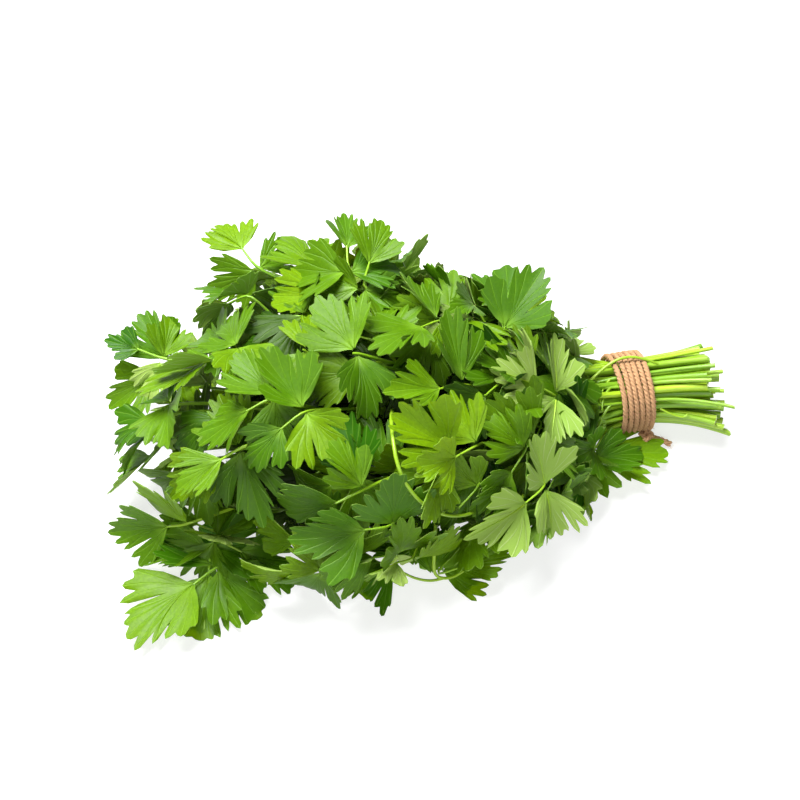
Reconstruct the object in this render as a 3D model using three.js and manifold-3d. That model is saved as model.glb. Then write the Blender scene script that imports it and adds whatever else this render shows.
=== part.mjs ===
// A bunch of flat-leaf parsley lying on a table: cut leafy stems held by a few turns of jute twine.
// Millimetres, +Z up. The origin is on the table under the middle of the tie, and +X points to the cut ends.
import * as THREE from "three";
import { mergeVertices } from "three/addons/utils/BufferGeometryUtils.js";
import Module from "manifold-3d";

const wasm = await Module();
wasm.setup();

const UP = new THREE.Vector3(0, 0, 1);
const GOLDEN_ANGLE = Math.PI * (3 - Math.sqrt(5));
const radians = THREE.MathUtils.degToRad;
const lerp = THREE.MathUtils.lerp;

// The stems
const FROND_COUNT = 36;
const INNER_COUNT = 12; // fronds from the middle of the tie, which reach the far end
const BUNDLE_RADIUS = 15.2; // centres of the outermost stems at the tie
const STEM = { start: 1.7, end: 0.8, sides: 5, steps: 6 };
const BRANCH = { start: 1.0, end: 0.7, sides: 3, steps: 3 };
const CUT_LENGTH = 34; // from the tie to the shortest cut end
const CUT_SPREAD = 11; // how much further the longest cut end reaches
const CUT_FLARE = 0.16; // how much the bundle widens towards the cut ends
const CUT_LEAN = -3; // how far the cut ends lean to the front

// The pile of foliage
const FOLIAGE_LENGTH = 262;
const FOLIAGE_HALF_WIDTH = 90;
const FOLIAGE_HEIGHT = 96;
const FOLIAGE_DRIFT = 0.045; // how far the pile turns to the front for each millimetre from the tie
const CLEARANCE = 0.35; // air kept between two leafy stems
const FAR_CROWN = 185;
const NEAR_CROWN = 85;
const BRANCHED_FROM = 60; // fronds whose crown is nearer the tie than this have no side branches

// Leaves that stand out of the pile, by frond: the tip of the last leaflet, the way from there back to its
// stalk, the way that its upper face looks, and its size as a share of the usual
const POSED_CROWNS = {
  8: { tip: [-247, 68, 40], back: [21, -15, 0], facing: [0, -0.5, 0.8], size: 0.7 },
  12: { tip: [-254, -84, 2], back: [47, 27, 11], facing: [0, -0.2, 1], size: 1.25 },
  16: { tip: [-184, 94, 84], back: [12, -26, -6], facing: [0, -0.4, 0.9], size: 0.75 },
  20: { tip: [-80, -82, 2], back: [-30, 5, 4], facing: [0, -0.3, 1], size: 1 },
  22: { tip: [-80, -69, 28], back: [-10, 22, 26], facing: [0, -0.8, 0.6], size: 1.1 },
  24: { tip: [-111, 62, 98], back: [-9, -21, -6], facing: [0, -0.7, 0.7], size: 0.85 },
  25: { tip: [-166, -75, 3], back: [27, 2, 8], facing: [0, -0.3, 1], size: 1 },
  30: { tip: [-45, -56, 12], back: [-41, -2, 4], facing: [0, 0.5, -0.9], size: 1.1 },
  32: { tip: [-41, 29, 79], back: [-20, -19, -12], facing: [-0.2, -0.6, 0.7], size: 1 },
  33: { tip: [0, -32, 7], back: [-32, 2, 4], facing: [0, -0.3, 1], size: 0.85 },
};

// The leaves: three leaflets at the end of a stalk, the pair growing before the middle one
const LEAFLET_LENGTH = 31;
const BLADE_THICKNESS = 0.7;
const HUB_THICKNESS = 1.7;
const HUB_HALF_WIDTH = 1.0;
const PAIR_BASE = 2.2; // width of a side leaflet's base
const MIDDLE_SETOUT = 13; // from the pair to the middle leaflet
const ROOT_DEPTH = 1.2; // how deep the stalk's end is sunk in the leaf
const ROOT_VOLUME = 4; // the most that two pieces of one frond share, where one is rooted in the other
const DROOP = 0.35;

// The tie
const TWINE_RADIUS = 1.2;
const TWINE_TURNS = 6;
const TWINE_PITCH = 2.7;
const TWINE_STEPS = 14; // round each turn
const TWINE_FLAT = 0.3; // how far the twine is pressed flat where the tie rests
const TIE_GAP = 0.9; // from the outermost stems to the twine
const TIE_RADIUS = BUNDLE_RADIUS + STEM.start + TIE_GAP + TWINE_RADIUS;
const TIE_HEIGHT = TIE_RADIUS + TWINE_RADIUS - TWINE_FLAT;
const KNOT_PLACE = new THREE.Vector3(5, -19, 7.5);
const KNOT_RADIUS = 1.9;
const TWINE_ENDS = [
  [new THREE.Vector3(9, -24, 5), new THREE.Vector3(7, -29, 2)],
  [new THREE.Vector3(12, -19, 5), new THREE.Vector3(17, -22, 2)],
];

// Colours and finish
const leafGreen = new THREE.MeshStandardMaterial({ color: 0x5f9a1c, roughness: 0.5, metalness: 0 });
const twineBrown = new THREE.MeshStandardMaterial({ color: 0xad8058, roughness: 0.95, metalness: 0 });

// A small seeded generator of numbers from 0 to 1
function seeded(seed) {
  let state = seed >>> 0;
  return () => {
    state = (state + 0x6d2b79f5) >>> 0;
    let mixed = Math.imul(state ^ (state >>> 15), 1 | state);
    mixed = (mixed + Math.imul(mixed ^ (mixed >>> 7), 61 | mixed)) ^ mixed;
    return ((mixed ^ (mixed >>> 14)) >>> 0) / 4294967296;
  };
}

const between = (random, low, high) => low + (high - low) * random();

// Turns a closed three.js geometry into a solid that can be joined and cut
function solidOf(geometry) {
  const plain = geometry.clone();
  for (const name of Object.keys(plain.attributes)) {
    if (name !== "position") plain.deleteAttribute(name);
  }
  const merged = mergeVertices(plain, 1e-4);
  return new wasm.Manifold(
    new wasm.Mesh({
      numProp: 3,
      vertProperties: merged.attributes.position.array,
      triVerts: new Uint32Array(merged.index.array),
    }),
  );
}

// The largest closed surface of a solid: hollows sealed by joining are filled and loose scraps are dropped
function largestBody(solid) {
  return solid.decompose().reduce((best, body) => (body.volume() > best.volume() ? body : best));
}

function geometryOf(solid) {
  const { vertProperties, triVerts } = solid.getMesh();
  const geometry = new THREE.BufferGeometry();
  geometry.setAttribute("position", new THREE.BufferAttribute(vertProperties, 3));
  geometry.setIndex(new THREE.BufferAttribute(triVerts, 1));
  geometry.computeVertexNormals();
  return geometry;
}

// A cylinder bent along a path and tapered. side tells which way its first corner points.
function bentStalk(path, { start, end, sides, steps }, side = UP, extra = 0) {
  const geometry = new THREE.CylinderGeometry(end + extra, start + extra, 1, sides, steps);
  const position = geometry.attributes.position;
  for (let i = 0; i < position.count; i += 1) {
    const t = position.getY(i) + 0.5;
    const along = path.getTangent(t);
    const across = new THREE.Vector3().crossVectors(along, side).normalize();
    const over = new THREE.Vector3().crossVectors(across, along);
    const point = path.getPoint(t);
    point.addScaledVector(across, position.getX(i)).addScaledVector(over, position.getZ(i));
    position.setXYZ(i, point.x, point.y, point.z);
  }
  return geometry;
}

// The pile's section at a distance from the tie, as a share of the fullest one
function fullness(distance) {
  const t = THREE.MathUtils.clamp(distance / FOLIAGE_LENGTH, 0.002, 0.998);
  return Math.sin(Math.PI * t ** 1.1) ** 0.55;
}

// A point of the pile, at a distance from the tie, an angle round its middle and a share of the way to its
// surface
function pilePoint(distance, angle, share) {
  const full = fullness(distance);
  const middle = Math.max(TIE_HEIGHT, 0.42 * FOLIAGE_HEIGHT * full);
  const reach = Math.sin(angle) > 0 ? FOLIAGE_HEIGHT * full - middle : middle - 4;
  return new THREE.Vector3(
    -distance,
    share * FOLIAGE_HALF_WIDTH * full * Math.cos(angle) - FOLIAGE_DRIFT * distance,
    middle + share * Math.max(reach, 6) * Math.sin(angle),
  );
}

// The direction that faces out of the pile there
function pileNormal(distance, angle) {
  const slope = (fullness(distance + 4) - fullness(distance - 4)) / 8;
  return new THREE.Vector3(
    slope * FOLIAGE_HALF_WIDTH,
    Math.cos(angle),
    (Math.sin(angle) * FOLIAGE_HALF_WIDTH) / FOLIAGE_HEIGHT,
  ).normalize();
}

// Where a frond's stem passes through the tie: a sunflower's spiral of evenly packed places
function slotOf(index) {
  const radius = BUNDLE_RADIUS * Math.sqrt((index + 0.5) / FROND_COUNT);
  const angle = (index * GOLDEN_ANGLE) % (2 * Math.PI);
  return { angle, y: radius * Math.cos(angle), z: radius * Math.sin(angle) };
}

// One try at where a frond's last leaf grows. Stems from the middle of the tie go to the far end of the pile.
function drawCrown(index, attempt, random) {
  const { angle } = slotOf(index);
  const lifted = angle + 0.45 * Math.cos(angle); // more fronds lie over the pile than under it
  const posed = POSED_CROWNS[index];
  if (posed) {
    const reach = MIDDLE_SETOUT - ROOT_DEPTH + LEAFLET_LENGTH * posed.size;
    const back = new THREE.Vector3(...posed.back).normalize();
    const place = new THREE.Vector3(...posed.tip).addScaledVector(back, reach);
    place.y += between(random, -0.4, 0.4) * attempt;
    place.z += between(random, -0.1, 0.4) * attempt;
    return { distance: -place.x, angle: lifted, place, posed };
  }
  if (index < INNER_COUNT) {
    const distance = between(random, 185, 226);
    const turned = lifted + between(random, -0.4, 0.4);
    const share = 0.15 + 0.75 * Math.sqrt((index + 0.5) / INNER_COUNT);
    return { distance, angle: turned, place: pilePoint(distance, turned, share) };
  }
  const nearness = (index - INNER_COUNT) / (FROND_COUNT - INNER_COUNT);
  const distance = lerp(FAR_CROWN, NEAR_CROWN, nearness) + between(random, -20, 20);
  const turned = lifted + between(random, -0.3, 0.3);
  return { distance, angle: turned, place: pilePoint(distance, turned, between(random, 0.82, 0.98)) };
}

// A stem's path: from its cut end, straight through the tie, then arching out to its crown
class StemPath extends THREE.Curve {
  constructor(index, attempt) {
    super();
    const random = seeded((100 + index) * 256 + attempt);
    this.slot = slotOf(index);
    this.crown = drawCrown(index, attempt, random);
    this.cutEnd = CUT_LENGTH + CUT_SPREAD * random();
    this.lean = { y: CUT_LEAN + between(random, -0.8, 0.8), z: between(random, -0.3, 0.8) };
    this.bend = between(random, 1.4, 2.1);
  }
  getPoint(t) {
    const { slot, lean, crown } = this;
    const x = lerp(this.cutEnd, crown.place.x, t);
    if (x > 0) {
      const out = (x / CUT_LENGTH) ** 2;
      return new THREE.Vector3(
        x,
        slot.y * (1 + CUT_FLARE * out) + lean.y * out,
        TIE_HEIGHT + slot.z * (1 + 0.9 * CUT_FLARE * out) + lean.z * out,
      );
    }
    const out = (x / crown.place.x) ** this.bend;
    const z = lerp(TIE_HEIGHT + slot.z, crown.place.z, out);
    return new THREE.Vector3(x, lerp(slot.y, crown.place.y, out), z);
  }
}

// The frame of a leaf: where it grows from, the way it grows, its right-hand side and the way it faces
function hubFrame(end, growth, facing, size = 1) {
  growth.addScaledVector(facing, -growth.dot(facing)).normalize();
  const across = new THREE.Vector3().crossVectors(growth, facing);
  return { origin: end.clone().addScaledVector(growth, -ROOT_DEPTH), growth, across, facing, size };
}

// A leaf at the end of a stalk faces out of the pile and grows the way the stalk does, drooping a little
function hubAt(path, distance, angle) {
  const growth = path.getTangent(1).addScaledVector(UP, -DROOP);
  return hubFrame(path.getPoint(1), growth, pileNormal(distance, angle));
}

function crownHub(stem) {
  const { place, posed, distance, angle } = stem.crown;
  if (!posed) return hubAt(stem, distance, angle);
  const growth = new THREE.Vector3(...posed.back).negate();
  return hubFrame(place, growth, new THREE.Vector3(...posed.facing).normalize(), posed.size);
}

// One try at a side branch, which leaves the stem nearer the tie and ends in a leaf of its own. Branches 0 and
// 1 of a frond leave it on opposite sides.
function drawBranch(index, stem, number, attempt) {
  const random = seeded((400 + index * 2 + number) * 64 + attempt);
  const { crown } = stem;
  const share = index < INNER_COUNT ? between(random, 0.55, 0.92) : between(random, 0.28, 0.78);
  const distance = crown.distance * share;
  const aside = radians(between(random, 6, 34) + attempt);
  const angle = crown.angle + (number === 0 ? aside : -aside);
  const place = pilePoint(distance, angle, between(random, 0.78, 1.02));
  const leave = (stem.cutEnd + distance * between(random, 0.5, 0.7)) / (stem.cutEnd + crown.distance);
  const start = stem.getPoint(leave);
  const tangent = stem.getTangent(leave);
  const middle = start.clone().lerp(place, 0.35).addScaledVector(tangent, 0.2 * start.distanceTo(place));
  const path = new THREE.QuadraticBezierCurve3(start, middle, place);
  const side = new THREE.Vector3().crossVectors(tangent, place.clone().sub(start)).normalize();
  return { path, side, hub: hubAt(path, distance, angle) };
}

// A leaf's stalk end, seen from its face: the places of its corners, sideways and along
const HUB_CORNERS = {
  backRight: [HUB_HALF_WIDTH, 0],
  right: [HUB_HALF_WIDTH, PAIR_BASE],
  frontRight: [HUB_HALF_WIDTH, MIDDLE_SETOUT],
  frontLeft: [-HUB_HALF_WIDTH, MIDDLE_SETOUT],
  left: [-HUB_HALF_WIDTH, PAIR_BASE],
  backLeft: [-HUB_HALF_WIDTH, 0],
};

// The three leaflets of a leaf: how far each is turned from the leaf's growth, the place of its base and the
// corners that it grows between
const LEAFLET_PLACES = [
  { turn: 0, base: [0, MIDDLE_SETOUT], from: "frontRight", to: "frontLeft" },
  { turn: radians(-84), base: [HUB_HALF_WIDTH, PAIR_BASE / 2], from: "backRight", to: "right" },
  { turn: radians(84), base: [-HUB_HALF_WIDTH, PAIR_BASE / 2], from: "left", to: "backLeft" },
];

// A leaflet's edge from its right base corner to its left one, as shares of its length, sideways and along:
// a lobe on each side and a broad middle lobe
const LEAFLET_EDGE = [
  [0.5, 0.48],
  [0.23, 0.55],
  [0.31, 0.85],
  [0, 1],
  [-0.31, 0.85],
  [-0.23, 0.55],
  [-0.5, 0.48],
];
const RIB_POINT = [0, 0.42];

// One try at a leaflet. Later tries stray further from the leaf's own directions.
function drawLeaflet(hub, place, seed, attempt) {
  const random = seeded(seed * 64 + attempt);
  const stray = 0.6 + Math.min(attempt, 40) / 50;
  const size = hub.size * LEAFLET_LENGTH * between(random, 0.84, 1.18) * (1 - 0.004 * attempt);
  const turn = place.turn + radians(between(random, -12, 12)) * stray;
  const roll = radians(between(random, -36, 36)) * stray;
  const pitch = radians(between(random, -24, 34)) * stray;
  const growth = hub.growth.clone().applyAxisAngle(hub.facing, turn);
  const facing = hub.facing.clone().applyAxisAngle(growth, roll);
  const across = new THREE.Vector3().crossVectors(growth, facing);
  growth.applyAxisAngle(across, -pitch);
  facing.applyAxisAngle(across, -pitch);
  const curl = between(random, 0.002, 0.03);
  const fold = between(random, 0.1, 0.7);
  const base = hubPoint(hub, place.base, 0);
  return { base, growth, across, facing, curl, fold, size, place };
}

// A point of a leaflet. The blade bends down along its rib by curl, and its halves rise from the rib by fold.
// level is the height above the blade's middle. Where it would sink into the table it is pressed flat on it.
function leafletPoint(leaflet, [sideways, along], level) {
  const { base, growth, across, facing, curl, fold, size } = leaflet;
  const bend = curl * along * size;
  const forward = Math.sin(bend) / curl;
  const drop = (1 - Math.cos(bend)) / curl;
  const aside = Math.abs(sideways * size);
  const rise = (fold * aside * aside) / (aside + 4) + level;
  const point = base.clone().addScaledVector(across, sideways * size * Math.cos(fold * 0.8));
  point.addScaledVector(growth, forward + rise * Math.sin(bend));
  point.addScaledVector(facing, rise * Math.cos(bend) - drop);
  return pressed(point, level * facing.z > 0 ? 2 * Math.abs(level) : 0);
}

function hubPoint(hub, [sideways, along], level) {
  const point = hub.origin.clone().addScaledVector(hub.across, sideways).addScaledVector(hub.growth, along);
  point.addScaledVector(hub.facing, level);
  return pressed(point, level * hub.facing.z > 0 ? 2 * Math.abs(level) : 0);
}

function pressed(point, lowest) {
  point.z = Math.max(point.z, lowest);
  return point;
}

// A closed sheet of even thickness, both faces split into the same triangles. Its points are added one by one
// and its rim is the ring of points round its edge.
class Sheet {
  above = [];
  below = [];
  faces = [];
  rim = [];
  add(pointAt, level) {
    this.above.push(...pointAt(level));
    this.below.push(...pointAt(-level));
    return this.above.length / 3 - 1;
  }
  addFan(middle, ring) {
    ring.forEach((vertex, i) => this.faces.push([middle, vertex, ring[(i + 1) % ring.length]]));
  }
  solid() {
    const count = this.above.length / 3;
    const triangles = this.faces.flatMap(([a, b, c]) => [a, b, c, count + a, count + c, count + b]);
    this.rim.forEach((vertex, i) => {
      const next = this.rim[(i + 1) % this.rim.length];
      triangles.push(vertex, count + vertex, next, next, count + vertex, count + next);
    });
    const geometry = new THREE.BufferGeometry();
    geometry.setAttribute("position", new THREE.Float32BufferAttribute([...this.above, ...this.below], 3));
    geometry.setIndex(triangles);
    return solidOf(geometry);
  }
}

// Adds a leaflet between two corners of the sheet that are already there
function addLeaflet(sheet, leaflet, from, to, extra) {
  const addPoint = (place) =>
    sheet.add((level) => leafletPoint(leaflet, place, level), BLADE_THICKNESS / 2 + extra);
  const rib = addPoint(RIB_POINT);
  const edge = LEAFLET_EDGE.map(addPoint);
  sheet.addFan(rib, [from, ...edge, to]);
  sheet.rim.push(from, ...edge, to);
}

// One leaflet by itself, thicker by extra on both faces
function leafletSolid(hub, leaflet, extra = 0) {
  const sheet = new Sheet();
  const [from, to] = [leaflet.place.from, leaflet.place.to].map((name) =>
    sheet.add((level) => hubPoint(hub, HUB_CORNERS[name], level), HUB_THICKNESS / 2 + extra),
  );
  addLeaflet(sheet, leaflet, from, to, extra);
  return sheet.solid();
}

// A leaf's stalk end with its leaflets, if any, which grow from its corners
function leafSolid(hub, leaflets, extra = 0) {
  const sheet = new Sheet();
  const corners = {};
  for (const [name, place] of Object.entries(HUB_CORNERS)) {
    corners[name] = sheet.add((level) => hubPoint(hub, place, level), HUB_THICKNESS / 2 + extra);
  }
  const [first, ...others] = Object.values(corners);
  others.slice(1).forEach((corner, i) => sheet.faces.push([first, others[i], corner]));
  const reached = new Set();
  for (const [name, corner] of Object.entries(corners)) {
    const leaflet = leaflets.find(({ place }) => place.from === name);
    if (leaflet) {
      addLeaflet(sheet, leaflet, corner, corners[leaflet.place.to], extra);
      reached.add(leaflet.place.to);
    } else if (!reached.has(name)) {
      sheet.rim.push(corner);
    }
  }
  return sheet.solid();
}

// What is already placed, each solid with its box, so that a new piece can be tried against it
const placed = [];

function boxOf(solid) {
  const { min, max } = solid.boundingBox();
  return new THREE.Box3(new THREE.Vector3(...min), new THREE.Vector3(...max));
}

function keep(solid, owner) {
  placed.push({ solid, owner, box: boxOf(solid) });
  return solid;
}

// Pieces of the same frond may share up to ownShare, and those of two fronds may not meet
function standsClear(solid, owner, ownShare) {
  const box = boxOf(solid);
  return placed.every((other) => {
    if (!other.box.intersectsBox(box)) return true;
    const common = solid.intersect(other.solid);
    const clear = common.isEmpty() || (other.owner === owner && common.volume() < ownShare);
    common.delete();
    return clear;
  });
}

// Tries one piece after another until its fattened solids stand clear of every other frond, or gives nothing
function firstClear(owner, attempts, draw, fatSolids, ownShare = Infinity) {
  for (let attempt = 0; attempt < attempts; attempt += 1) {
    const piece = draw(attempt);
    const solids = fatSolids(piece);
    const clear = solids.every((solid) => standsClear(solid, owner, ownShare));
    solids.forEach((solid) => solid.delete());
    if (clear) return piece;
  }
  return null;
}

const STEM_TRIES = 160;
const BRANCH_TRIES = 32;
const LEAFLET_TRIES = 48;

function growStem(index) {
  const stem = firstClear(
    index,
    STEM_TRIES,
    (attempt) => new StemPath(index, attempt),
    (path) => [solidOf(bentStalk(path, STEM, UP, CLEARANCE)), leafSolid(crownHub(path), [], CLEARANCE)],
  );
  if (!stem) throw new Error(`no room for stem ${index}`);
  const hub = crownHub(stem);
  keep(leafSolid(hub, []), index);
  return { index, stem, hubs: [hub], pieces: [keep(solidOf(bentStalk(stem, STEM)), index)] };
}

function growBranches({ index, stem, hubs, pieces }) {
  if (stem.crown.distance < BRANCHED_FROM) return;
  for (const number of index < INNER_COUNT ? [index % 2] : [0, 1]) {
    const branch = firstClear(
      index,
      BRANCH_TRIES,
      (attempt) => drawBranch(index, stem, number, attempt),
      ({ path, side, hub }) => [
        solidOf(bentStalk(path, BRANCH, side, CLEARANCE)),
        leafSolid(hub, [], CLEARANCE),
      ],
    );
    if (!branch) continue;
    hubs.push(branch.hub);
    keep(leafSolid(branch.hub, []), index);
    pieces.push(keep(solidOf(bentStalk(branch.path, BRANCH, branch.side)), index));
  }
}

function growLeaves({ index, hubs, pieces }) {
  hubs.forEach((hub, number) => {
    const leaflets = [];
    LEAFLET_PLACES.forEach((place, which) => {
      const seed = index * 16 + number * 4 + which;
      const leaflet = firstClear(
        index,
        LEAFLET_TRIES,
        (attempt) => drawLeaflet(hub, place, seed, attempt),
        (piece) => [leafletSolid(hub, piece, CLEARANCE)],
        ROOT_VOLUME,
      );
      if (!leaflet) return;
      leaflets.push(leaflet);
      keep(leafletSolid(hub, leaflet), index);
    });
    if (leaflets.length > 0) pieces.push(leafSolid(hub, leaflets));
  });
}

// All stems are laid first, then every side branch, then the leaves, so that none has to cross another
function growFronds() {
  const indexes = Array.from({ length: FROND_COUNT }, (_, index) => index);
  indexes.sort((a, b) => (b in POSED_CROWNS) - (a in POSED_CROWNS) || a - b);
  const fronds = indexes.map(growStem);
  fronds.forEach(growBranches);
  fronds.forEach(growLeaves);
  return fronds.map(({ index, pieces }) => {
    const joined = pieces.reduce((sum, piece) => sum.add(piece));
    const mesh = new THREE.Mesh(geometryOf(largestBody(joined)), leafGreen);
    mesh.name = `leafy_stem_${String(index + 1).padStart(2, "0")}`;
    return mesh;
  });
}

// The tie: one length of twine wound round the stems
class TwinePath extends THREE.Curve {
  getPoint(t) {
    const turns = (t - 0.5) * TWINE_TURNS;
    const angle = turns * 2 * Math.PI - Math.PI / 2;
    return new THREE.Vector3(
      turns * TWINE_PITCH,
      TIE_RADIUS * Math.cos(angle),
      TIE_HEIGHT + TIE_RADIUS * Math.sin(angle),
    );
  }
}

// The twine ends in a small knot low at the front, with two short cut ends
function makeTwine() {
  const strand = { start: TWINE_RADIUS, end: TWINE_RADIUS, sides: 5, steps: TWINE_STEPS * TWINE_TURNS };
  let tie = solidOf(bentStalk(new TwinePath(), strand, new THREE.Vector3(1, 0, 0)));
  const knot = new THREE.TorusKnotGeometry(KNOT_RADIUS, 0.9 * TWINE_RADIUS, 18, 5, 2, 3);
  tie = tie.add(solidOf(knot.translate(...KNOT_PLACE)));
  for (const [middle, tip] of TWINE_ENDS) {
    const end = new THREE.QuadraticBezierCurve3(KNOT_PLACE, middle, tip);
    tie = tie.add(solidOf(bentStalk(end, { ...strand, end: 0.8 * TWINE_RADIUS, steps: 3 })));
  }
  const below = new THREE.BoxGeometry(80, 80, 10).translate(0, 0, -5);
  tie = largestBody(tie.subtract(solidOf(below)));
  const mesh = new THREE.Mesh(geometryOf(keep(tie, "tie")), twineBrown);
  mesh.name = "twine_tie";
  return mesh;
}

const bunch = new THREE.Group();
bunch.add(makeTwine(), ...growFronds());
export default bunch;
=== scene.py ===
import math
from functools import partial
from types import SimpleNamespace as Record

import bpy
import numpy as np
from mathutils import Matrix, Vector


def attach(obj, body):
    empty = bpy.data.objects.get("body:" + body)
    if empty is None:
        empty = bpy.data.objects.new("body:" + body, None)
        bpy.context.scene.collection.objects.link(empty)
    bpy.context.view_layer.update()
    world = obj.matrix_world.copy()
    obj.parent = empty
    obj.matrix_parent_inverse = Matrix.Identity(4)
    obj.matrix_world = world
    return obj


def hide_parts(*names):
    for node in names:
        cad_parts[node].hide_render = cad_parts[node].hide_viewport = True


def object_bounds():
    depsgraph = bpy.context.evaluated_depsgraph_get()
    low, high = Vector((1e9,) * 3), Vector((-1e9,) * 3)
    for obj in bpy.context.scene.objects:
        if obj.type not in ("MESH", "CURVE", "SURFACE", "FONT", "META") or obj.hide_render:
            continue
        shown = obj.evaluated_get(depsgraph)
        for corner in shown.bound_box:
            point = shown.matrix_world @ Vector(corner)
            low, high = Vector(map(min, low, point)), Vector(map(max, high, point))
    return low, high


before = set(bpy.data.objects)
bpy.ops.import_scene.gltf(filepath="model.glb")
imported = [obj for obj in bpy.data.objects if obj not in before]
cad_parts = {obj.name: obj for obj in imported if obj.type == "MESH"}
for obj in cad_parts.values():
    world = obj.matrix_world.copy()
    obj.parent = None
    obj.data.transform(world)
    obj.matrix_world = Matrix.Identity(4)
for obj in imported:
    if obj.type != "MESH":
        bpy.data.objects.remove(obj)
cad_box = [list(corner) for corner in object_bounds()]


def new_object(name, data):
    made = bpy.data.objects.new(name, data)
    bpy.context.collection.objects.link(made)
    return made


# The camera looks down at the bunch from 48 degrees above the table, a little aside, through a long lens
CAMERA_ABOVE = math.radians(48)
CAMERA_ASIDE = math.radians(11.6)
CAMERA_DISTANCE = 0.95
PICTURE_WIDTH = 0.39  # metres across the picture, at the bunch
LOOKED_AT = Vector((-0.1091, 0.0195, 0.0174))

sight = Vector((
    math.sin(CAMERA_ASIDE) * math.cos(CAMERA_ABOVE),
    math.cos(CAMERA_ASIDE) * math.cos(CAMERA_ABOVE),
    -math.sin(CAMERA_ABOVE),
))
camera_data = bpy.data.cameras.new("camera")
camera_data.lens = camera_data.sensor_width * CAMERA_DISTANCE / PICTURE_WIDTH
camera = new_object("camera", camera_data)
camera.location = LOOKED_AT - sight * CAMERA_DISTANCE
camera.rotation_euler = sight.to_track_quat("-Z", "Y").to_euler()
bpy.context.scene.camera = camera

# The leafy stems: fresh cut parsley, each stem grown in one with its side stalks and leaves of three
# leaflets. They lie side by side through the tie and arch out into a pile. Each replaces its packed
# solid, along the same paths. Lengths are in millimetres until a mesh is made.
FROND_COUNT = 36
INNER_COUNT = 12
BUNDLE_RADIUS = 15.2
STEM_RADII = (1.7, 0.8)
BRANCH_RADII = (1.0, 0.7)
CUT_LENGTH = 34
CUT_SPREAD = 11
CUT_FLARE = 0.16
CUT_LEAN = -3
STEM_RANGES = [(0, CUT_SPREAD), (-0.8, 0.8), (-0.3, 0.8), (1.4, 2.1)]  # cut's place, leans; arch's bend
PILE_LENGTH = 262
PILE_HALF_WIDTH = 90
PILE_HEIGHT = 96
PILE_DRIFT = 0.045
MIDDLE_HEIGHT = 0.42
FAR_CROWN, NEAR_CROWN = 185, 85
BRANCHED_FROM = 60
LEAFLET_LENGTH = 31
SOLID_BLADE = 0.7  # the thickness of the solids' blades
SOLID_STEM_SIDES, SOLID_BRANCH_SIDES = 5, 3
HUB_HALF_WIDTH = 1.0
PAIR_BASE = 2.2
MIDDLE_SETOUT = 13
ROOT_DEPTH = 1.2
DROOP = 0.35
TWINE_RADIUS = 1.2
TIE_RADIUS = BUNDLE_RADIUS + STEM_RADII[0] + 0.9 + TWINE_RADIUS
TIE_HEIGHT = TIE_RADIUS + TWINE_RADIUS - 0.3
STEM_TRIES, BRANCH_TRIES, LEAFLET_TRIES = 160, 32, 48
GOLDEN_ANGLE = math.pi * (3 - math.sqrt(5))
UP = np.array([0.0, 0.0, 1.0])

# Leaves that stand out of the pile, by frond: the tip of the last leaflet, the way back to its stalk, the
# way that its upper face looks, its size, and its tone from 0 to 1: partly how fresh it is, partly painted
# light, brighter yellow-green where a leaf is lit through from behind
POSED_CROWNS = {
    8: ([-247, 68, 40], [21, -15, 0], [0, -0.5, 0.8], 0.7, 0.4),
    12: ([-254, -84, 2], [47, 27, 11], [0, -0.2, 1], 1.25, 0.35),
    16: ([-184, 94, 84], [12, -26, -6], [0, -0.4, 0.9], 0.75, 0.45),
    20: ([-80, -82, 2], [-30, 5, 4], [0, -0.3, 1], 1, 0.35),
    22: ([-80, -69, 28], [-10, 22, 26], [0, -0.8, 0.6], 1.1, 0.3),
    24: ([-111, 62, 98], [-9, -21, -6], [0, -0.7, 0.7], 0.85, 0.55),
    25: ([-166, -75, 3], [27, 2, 8], [0, -0.3, 1], 1, 0.4),
    30: ([-45, -56, 12], [-41, -2, 4], [0, 0.5, -0.9], 1.1, 0.6),
    32: ([-41, 29, 79], [-20, -19, -12], [-0.2, -0.6, 0.7], 1, 0.35),
    33: ([0, -32, 7], [-32, 2, 4], [0, -0.3, 1], 0.85, 0.5),
    36: ([-150, 81, 82], [9, -40, -2], [0, -0.3, 0.95], 1.0, 0.45),
    37: ([-127, 76, 90], [-3, -36, 2], [0.1, -0.4, 0.9], 0.9, 0.5),
    38: ([-249, 40, 22], [22, 8, 8], [-0.3, -0.5, 0.8], 0.85, 0.4),
    39: ([-159, -86, 3], [24, 11, 6], [0, -0.5, 0.9], 1.0, 0.3),
    40: ([11, -36, 7], [-28, 8, 5], [0.2, -0.5, 0.85], 1.15, 0.5),
    41: ([-177, -67, 4], [-24, 14, 11], [0, -0.5, 0.85], 0.9, 0.6),
    42: ([-222, -93, 2], [7, 30, 9], [0, -0.4, 0.9], 1.1, 0.3),
    43: ([-75, -74, 8], [-30, -7, 2], [0.1, -0.5, 0.85], 0.95, 0.45),
}


def beside(*parts):
    """Arrays side by side, as the last axis of one."""
    return np.stack(np.broadcast_arrays(*parts), axis=-1)


def between(share, low, high):
    return low + (high - low) * share


def draws(seeds, *ranges):
    """Numbers for each seed, a column for each range. The state steps on by a fixed odd number, and shifts,
    products and exclusive ors mix its bits, modulo 2 to the 32."""
    state = np.asarray(seeds, np.uint32)
    columns = []
    for low, high in ranges:
        state = state + np.uint32(0x6D2B79F5)
        mixed = (state ^ (state >> 15)) * (state | 1)
        mixed = (mixed + (mixed ^ (mixed >> 7)) * (mixed | 61)) ^ mixed
        columns.append(between((mixed ^ (mixed >> 14)) / 2.0**32, low, high))
    return columns


def dot(a, b):
    return (a * b).sum(axis=-1, keepdims=True)


def unit(vectors):
    return vectors / np.linalg.norm(vectors, axis=-1, keepdims=True)


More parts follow.
